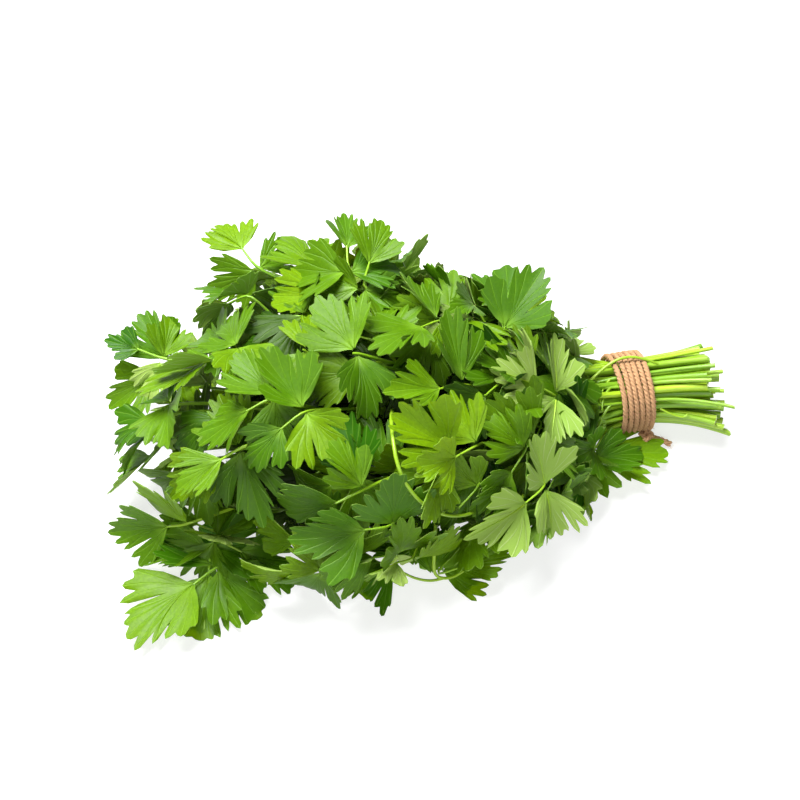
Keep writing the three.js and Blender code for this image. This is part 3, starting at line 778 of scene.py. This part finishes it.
def frond_surfaces(index, frond, rng, rings, stem_radii=(1.9, 0.75), branch_radii=(0.95, 0.6)):
    """All surfaces of one frond: its stem and branches, its blades, and the ribs under them."""
    tint = np.array([rng.uniform(0.1, 0.75), rng.uniform(), 0])
    # A posed leaf's tone is partly its own freshness, partly painted light: brighter where it is lit from
    # behind
    if index in POSED_CROWNS:
        tint[0] = POSED_CROWNS[index][-1]
    with_middle = {number for number, which, _ in frond.leaflets if which == 0}
    surfaces = [stalk_to_leaf(
        partial(stem_points, frond.stem), STEM_STATIONS, stem_radii, frond.leaves[0], 0 in with_middle,
        UP, STEM_SIDES, (rng.uniform(), 0, 0), 0.05, rng.uniform(-0.4, 0.4),
    )]
    for number, branch in enumerate(frond.branches, 1):
        surfaces.append(stalk_to_leaf(
            partial(bezier_points, branch), BRANCH_STATIONS, branch_radii, frond.leaves[number],
            number in with_middle, branch.side[0], BRANCH_SIDES, tint, 0.04, 0.0,
        ))
    if frond.leaflets:
        leaflets = stack_pieces([leaflet for *_, leaflet in frond.leaflets])
        tones = np.clip(tint + rng.normal(0, 0.2, (len(leaflets.size), 3)), 0, 1)
        # The third tint is painted shade, by how deep the leaflets lie in the pile; posed leaves get none
        tones[:, 2] = 0 if index in POSED_CROWNS else painted_shade_depth(leaflet_marks(leaflets).mean(axis=1))
        over = (rng.uniform(size=len(tones)) < (1 if index == PALE_FROND else TURNED_OVER)).astype(float)
        blades = blade_surface(leaflets, rings, tones, over, rng)
        surfaces.append(blades)
        for rib, facing, tone in zip(blades.ribs, leaflets.facing, tones):
            radii = np.linspace(*RIB_RADII, len(rib))
            surfaces.append(stalk_surface(rib, radii, RIB_SIDES, facing, tone))
    return surfaces


for index, frond in enumerate(fronds):
    rng = np.random.default_rng(index)
    make_piece(
        f"parsley_{index + 1:02d}", frond_surfaces(index, frond, rng, FINE_RINGS), parsley,
        [f"leafy_stem_{index + 1:02d}"],
    )

# Loose stalks: a long pale one that curves over the front of the pile, three that meet below it, one laid
# over the tie and a small torn one by the cut ends. Each bends smoothly through its points.
LOOSE_STALKS = [
    ([[-121, -24, 62], [-126, -42, 79], [-129, -61, 87], [-130, -75, 80], [-123, -82, 66], [-112, -82, 52],
      [-98, -78, 43], [-84, -68, 38], [-70, -60, 35]], 0.95, 0.45),
    ([[-110, -64, 38], [-112, -76, 25], [-116, -84, 10], [-106, -84, 7], [-98, -80, 8]], 0.9, 0.6),
    ([[-110, -83.8, 8.6], [-116, -84.5, 8.5], [-124, -83, 11], [-131, -78, 14]], 0.75, 0.6),
    ([[-22, -3, 34], [-14, 1, 38.5], [-6, 3, 42], [1, 3, 42.3], [8, 1, 40.5], [14, 0, 37]], 0.8, 0.6),
    ([[11, -18, 25], [16, -20.5, 22.5], [22, -22, 20], [24, -21, 22]], 0.5, 0.6),
]
loose = []
for points, radius, tone in LOOSE_STALKS:
    at = np.linspace(0, len(points) - 1, 8 * len(points))
    path = beside(*(np.interp(at, range(len(points)), column) for column in zip(*points)))
    radii = radius * np.linspace(1, 0.75, len(at))
    surface = stalk_surface(smoothed(path, 30), radii, 8, UP, (tone, 0, 0), 0.04)
    surface.values[:, 0] *= 0.3  # they stay pale towards their ends
    loose.append(surface)
make_piece("loose_stalks", loose, parsley)

# The inner stems: more of the same parsley, thinner, in the gaps that the larger stems leave in the tie.
# Their leaves fill the pile from inside.
INNER_STEMS = 48
STEMS_IN_PIECE = 6
SLOT_TRIES, CROWN_TRIES, LEAF_TRIES = 600, 24, 24
LEAST_ROOM = 1.8
INNER_FLARE = 0.3
INNER_RADII = (0.8, 1.5)
INNER_DEPTHS = (0.55, 0.94)
NEAREST_LEAF = -24  # no inner leaf comes nearer to the tie
WIDEST_LEAF = 90
INNER_SIZES = (0.7, 1.05)
STEPS_TO_CAMERA = (4, 12, 20, 28)  # kept clear in front of the posed leaves and loose stalks
inner_rng = np.random.default_rng(3)


def roomiest(tries, taken):
    """The try whose nearest taken point is furthest from all its points, and how far that is."""
    room = np.sqrt(np.maximum(squared_gaps(tries, taken), 0)).reshape(len(tries), -1).min(axis=-1)
    return int(room.argmax()), room.max()


def lay_inner_stems():
    """The roomiest slots left in the tie, one by one, and their stems' radii."""
    spin, out = inner_rng.uniform(0, 2 * np.pi, SLOT_TRIES), np.sqrt(inner_rng.uniform(0, 1, SLOT_TRIES))
    tries = (BUNDLE_RADIUS + 0.4) * out[:, None] * beside(np.cos(spin), np.sin(spin))
    slots = np.concatenate([frond.stem.slot for frond in fronds])
    radii = []
    for _ in range(INNER_STEMS):
        best, room = roomiest(tries[:, None], slots)
        slots = np.concatenate([slots, tries[best : best + 1]])
        radii.append(np.clip(room - 1.5, *INNER_RADII))
    return slots[FROND_COUNT:], radii


def roomy_leaflets(index, number, leaf, taken):
    """The leaflets of an inner leaf that find room, each the roomiest of its tries. The middle leaflet of
    a posed leaf needs none."""
    placed = []
    for which in range(len(LEAFLET_PLACES)):
        leaflets = lay_leaflets(index, number, which, leaf, np.arange(LEAF_TRIES))
        marks = leaflet_marks(leaflets)
        best, room = roomiest(marks, taken)
        posed = index in POSED_CROWNS and number == 0
        best = 0 if posed else best
        near = marks[best, :, 0].max() > NEAREST_LEAF and not posed
        wide = np.abs(marks[best, :, 1]).max() > WIDEST_LEAF
        if (posed and which == 0) or (room > LEAST_ROOM and not near and not wide):
            placed.append((number, which, one(leaflets, best)))
            taken = np.concatenate([taken, marks[best]])
    return placed, taken


def inner_frond(number, slot, taken):
    """An inner stem with its side stalks and leaflets, each the roomiest of its tries. The nearer its
    slot is to the middle of the tie, the further off its crown lies."""
    index, tries = FROND_COUNT + number, np.arange(CROWN_TRIES)
    random = inner_rng.uniform(0, 1, (CROWN_TRIES, 6))
    slot_angle, out = math.atan2(slot[1], slot[0]), np.hypot(*slot) / BUNDLE_RADIUS
    distance = between(out, 215, 60) + between(random[:, 0], -35, 35)
    angle = turned_up(slot_angle) + between(random[:, 1], -0.7, 0.7)
    place = pile_point(distance, angle, between(random[:, 2], 0.35, 0.72))
    if index in POSED_CROWNS:
        place[:] = posed_place(index)
        distance = -place[:, 0]
    best, _ = roomiest(place[:, None], taken)
    stem = Record(
        slot=slot[None], place=place[best, None], distance=distance[best, None], angle=angle[best, None],
        cut_end=CUT_LENGTH + CUT_SPREAD * random[:1, 3],
        bend=between(random[:1, 4], 1.2, 1.9),
        lean=np.array([[CUT_LEAN + 0.25 * min(slot[0], 0), 0.25]]) + (random[:1, 3:5] - 0.5) * 3,
        flare=between(random[:1, 5:], CUT_FLARE, INNER_FLARE),
    )
    frond = Record(stem=stem, leaves=[crown_leaf(index, stem)], branches=[])
    frond.leaflets, taken = roomy_leaflets(index, 0, frond.leaves[0], taken)
    for side in (0, 1):
        branches, leaves = lay_branches(index, stem, side, tries, INNER_DEPTHS)
        best, _ = roomiest(branches.place[:, None], taken)
        leaf = one(leaves, best)
        leaf.size = between(random[best, 4:5], *INNER_SIZES)
        leaflets, taken = roomy_leaflets(index, len(frond.leaves), leaf, taken)
        if leaflets:
            frond.leaves.append(leaf)
            frond.branches.append(one(branches, best))
            frond.leaflets += leaflets
    return frond, taken


inner_slots, inner_radii = lay_inner_stems()
frond_marks = [[leaflet_marks(leaflet)[0] for *_, leaflet in frond.leaflets] for frond in fronds]
seen_marks = [surface.points[::4] for surface in loose]
for index in POSED_CROWNS:
    if index < FROND_COUNT:
        seen_marks += frond_marks[index]
guards = [marks - step * np.array(sight) for marks in seen_marks for step in STEPS_TO_CAMERA]
leaf_marks = np.concatenate(sum(frond_marks, []) + guards)

# A posed inner stem takes the slot that lies on the way to its leaf
for index in range(FROND_COUNT, max(POSED_CROWNS) + 1):
    (x, y, z), *_ = POSED_CROWNS[index]
    wanted = unit(np.array([y, z - TIE_HEIGHT])) * BUNDLE_RADIUS * (1 + 0.7 * x / PILE_LENGTH)
    number = index - FROND_COUNT
    nearest = number + np.linalg.norm(inner_slots[number:] - wanted, axis=-1).argmin()
    inner_slots[[number, nearest]] = inner_slots[[nearest, number]]

inner_surfaces = []
for number, slot in enumerate(inner_slots):
    frond, leaf_marks = inner_frond(number, slot, leaf_marks)
    inner_surfaces += frond_surfaces(
        FROND_COUNT + number, frond, inner_rng, PLAIN_RINGS, (inner_radii[number], 0.6), (0.7, 0.5),
    )
    if (number + 1) % STEMS_IN_PIECE == 0:
        make_piece(f"inner_parsley_{number // STEMS_IN_PIECE + 1}", inner_surfaces, parsley)
        inner_surfaces = []

# The tie: one length of brown jute twine of three plies, wound six times round the stems and knotted low
# at the front. Its two ends lie on the table and fray, and short fibres stand off it all along.
TWINE_TURNS = 6
TWINE_PITCH = 2.7
KNOT_PLACE = np.array([5.0, -19.0, 7.5])
KNOT_RADIUS = 1.9
TWINE_ENDS = [((9, -24, 5), (7, -29, 2)), ((12, -19, 5), (17, -22, 2))]
PLIES, PLY_SIDES = 3, 7
PLY_RADIUS, PLY_OFFSET = 0.76, 0.64
PLY_TWIST = 6.5  # millimetres of twine to one turn of its plies
PLY_STEP = 0.75
FIBRE_COUNT = 1100
FIBRE_RADIUS = 0.07
FIBRE_LENGTHS = (1.2, 4.5)
tie_rng = np.random.default_rng(11)


def even_steps(points, step):
    """A path's points put at even distances, by its length so far."""
    length = np.concatenate([[0], np.cumsum(np.linalg.norm(np.diff(points, axis=0), axis=-1))])
    at = np.linspace(0, length[-1], int(length[-1] / step) + 2)
    return at, beside(*(np.interp(at, length, column) for column in points.T))


def wound_twine():
    """A helix whose first turn stands a little apart and whose turns wander by a slow wave."""
    turns = np.linspace(-TWINE_TURNS / 2, TWINE_TURNS / 2, 1500)
    angle = turns * 2 * np.pi - np.pi / 2
    wander = 0.22 * np.sin(2.6 * angle) * np.sin(0.37 * angle + 1) - 0.9 * np.clip(-1.9 - turns, 0, 0.6)
    radius = TIE_RADIUS - 0.1 + 0.12 * np.sin(1.7 * angle)
    y, z = radius * np.cos(angle), TIE_HEIGHT + radius * np.sin(angle)
    return beside(turns * TWINE_PITCH + wander, y, z)


def knot_path():
    """A closed path that winds three times round a small ring while it goes twice along it."""
    turn = np.linspace(0, 4 * np.pi, 240)
    out, up = KNOT_RADIUS * (2 + np.cos(1.5 * turn)) / 2, KNOT_RADIUS * np.sin(1.5 * turn) / 2
    return KNOT_PLACE + beside(out * np.cos(turn), out * np.sin(turn), up)


def ply_surfaces(path, side, fray=0.0):
    """The plies of a twine: round strands whose middles circle its path once every twist, with a
    thickness that wavers. fray spreads them towards the far end."""
    at, points = even_steps(path, PLY_STEP)
    along = unit(np.gradient(points, axis=0))
    across = unit(np.cross(along, side))
    over = np.cross(across, along)
    spread = PLY_OFFSET + fray * np.maximum(at / at[-1] - 0.6, 0)
    surfaces = []
    for ply in range(PLIES):
        turn = 2 * np.pi * (at / PLY_TWIST + ply / PLIES)
        middle = points + spread[:, None] * (across * np.cos(turn)[:, None] + over * np.sin(turn)[:, None])
        radii = PLY_RADIUS * (1 + 0.1 * np.sin(at * 1.9 + 5 * ply) + 0.06 * np.sin(at * 5.3 + 2 * ply))
        surface = stalk_surface(middle, radii, PLY_SIDES, side, (tie_rng.uniform(), 0, 0))
        corner = corner_turns(PLY_SIDES)
        rings = beside(at[:, None] / PLY_TWIST, np.cos(corner), np.sin(corner))
        surface.values[:-2] = rings.reshape(-1, 3)
        surface.values[-2:] = rings[[0, -1], 0]
        surface.material = 0
        surfaces.append(surface)
    return surfaces


def fibres(path, side, count):
    """Short fibres that leave a twine at a slant and curl: each a thin three-sided spike with a bend."""
    chosen = tie_rng.integers(0, len(path), count)
    along = unit(np.gradient(path, axis=0))[chosen] * tie_rng.choice([-1, 1], (count, 1))
    across = unit(np.cross(along, side))
    over = np.cross(across, along)
    turn = tie_rng.uniform(0, 2 * np.pi, (count, 1))
    outward = across * np.cos(turn) + over * np.sin(turn)
    length = tie_rng.uniform(*FIBRE_LENGTHS, (count, 1, 1))
    shares = np.linspace(0, 1, 4)[None, :, None]
    start = path[chosen][:, None] + outward[:, None] * (TWINE_RADIUS - 0.25)
    lifted = tie_rng.uniform(0.1, 0.7, (count, 1, 1)) * shares**2
    aside = np.cross(along, outward)[:, None]
    sideways = aside * tie_rng.uniform(-0.5, 0.5, (count, 1, 1)) * shares**2
    middle = start + length * (along[:, None] * shares + outward[:, None] * lifted + sideways)
    corner = corner_turns(3)[:, None]
    ring = outward[:, None] * np.cos(corner) + aside * np.sin(corner)
    radius = FIBRE_RADIUS * (1 - 0.6 * shares)
    points = middle[:, :, None] + radius[..., None] * ring[:, None]
    points[..., 2] = np.maximum(points[..., 2], 0)
    grid, _, quads = tube_faces(4, 3)
    ends = np.stack([grid[0, [0, 2, 1]], grid[-1]])
    starts = np.arange(count)[:, None, None] * grid.size
    values = np.zeros((count * grid.size, 3))
    values[:, 0] = chosen.repeat(grid.size) / 9
    return Record(
        points=points.reshape(-1, 3), quads=(quads + starts).reshape(-1, 4),
        triangles=(ends + starts).reshape(-1, 3),
        values=values, tints=np.tile([0.9, 0, 0], (len(values), 1)), material=0,
    )


def twine_finish():
    finish = Finish(bpy.data.materials.new("jute_twine"))
    along, cosine, sine = finish.parts("place")
    tone = finish.parts("tint")[0]
    place = finish.node("CombineXYZ", {"X": along * 3, "Y": cosine * 2, "Z": sine * 2})
    strands = finish.node("TexNoise", {"Vector": place, "Scale": 2.2, "Detail": 4.0})
    blotches = finish.noise(260.0)
    colour = finish.mix(strands, (96, 62, 36), (222, 180, 138))
    colour = finish.mix(blotches * 0.5, colour, (160, 116, 80))
    colour = finish.mix(tone * 0.25, colour, (204, 160, 116))
    bump = finish.bump(0.8, 0.0003, strands)
    sockets = {"Base Color": colour, "Roughness": 0.9, "Specular IOR Level": 0.15, "Normal": bump}
    return finish.finished(finish.surface(sockets))


X_AXIS = np.array([1.0, 0.0, 0.0])
winding, knot = wound_twine(), knot_path()
tie_surfaces = ply_surfaces(winding, X_AXIS) + ply_surfaces(knot, UP)
tie_surfaces.append(fibres(winding, X_AXIS, FIBRE_COUNT))
for middle, tip in TWINE_ENDS:
    curve = Record(start=KNOT_PLACE[None], middle=np.array([middle]), place=np.array([tip]))
    end = bezier_points(curve, np.linspace(0, 1, 40)[None])[0]
    tie_surfaces += ply_surfaces(end, UP, 0.9)
    tie_surfaces.append(fibres(end, UP, 60))
make_piece("jute_tie", tie_surfaces, [twine_finish()], ["twine_tie"])

# The floor and the light: a pale table, a large soft lamp behind and to the left, a weaker one in front,
# and bright walls all round under a darker ceiling
FLOOR_HALF = 3.0
CEILING = 0.12
FAR_GLOW = 1.17  # the table's own light far off, against 1 near by, so that it meets the walls
floor_mesh = bpy.data.meshes.new("floor")
corners = [(x * FLOOR_HALF, y * FLOOR_HALF, 0) for x, y in ((-1, -1), (1, -1), (1, 1), (-1, 1))]
floor_mesh.from_pydata(corners, [], [(0, 1, 2, 3)])
table = Finish(bpy.data.materials.new("pale_floor"))
place = table.node("TexCoord", {}, "Object")
away = table.node("VectorMath", {0: place}, "Value", operation="LENGTH")
glow = table.fade(away, 0.4, 2.0) * (1 - FAR_GLOW) + FAR_GLOW
surface = table.surface({
    "Base Color": (0.35, 0.35, 0.35, 1), "Roughness": 0.9, "Specular IOR Level": 0.1,
    "Emission Color": glow, "Emission Strength": 0.72,
})
floor_mesh.materials.append(table.finished(surface))
floor = new_object("floor", floor_mesh)

walls = Finish(bpy.data.worlds.new("walls"))
direction = walls.node("TexCoord", {}, "Generated")
height = walls.node("SeparateXYZ", {0: direction}, "Z")
light = walls.fade(height, 0.0, 0.32) * 0.8 + CEILING
sky = walls.node("Background", {"Color": (1, 1, 1, 1), "Strength": light})
walls.node("OutputWorld", {"Surface": sky})
bpy.context.scene.world = walls.made_for

LAMPS = [("key", (-0.35, 0.25, 1.0), 0.6, 35), ("front", (-0.3, -0.9, 0.6), 0.8, 6)]
for name, place, width, power in LAMPS:
    lamp_data = bpy.data.lights.new(name, "AREA")
    lamp_data.size = width
    lamp_data.energy = power
    lamp = new_object(name, lamp_data)
    lamp.location = place
    lamp.rotation_euler = (LOOKED_AT - Vector(place)).to_track_quat("-Z", "Y").to_euler()

bpy.context.scene.view_settings.view_transform = "Standard"
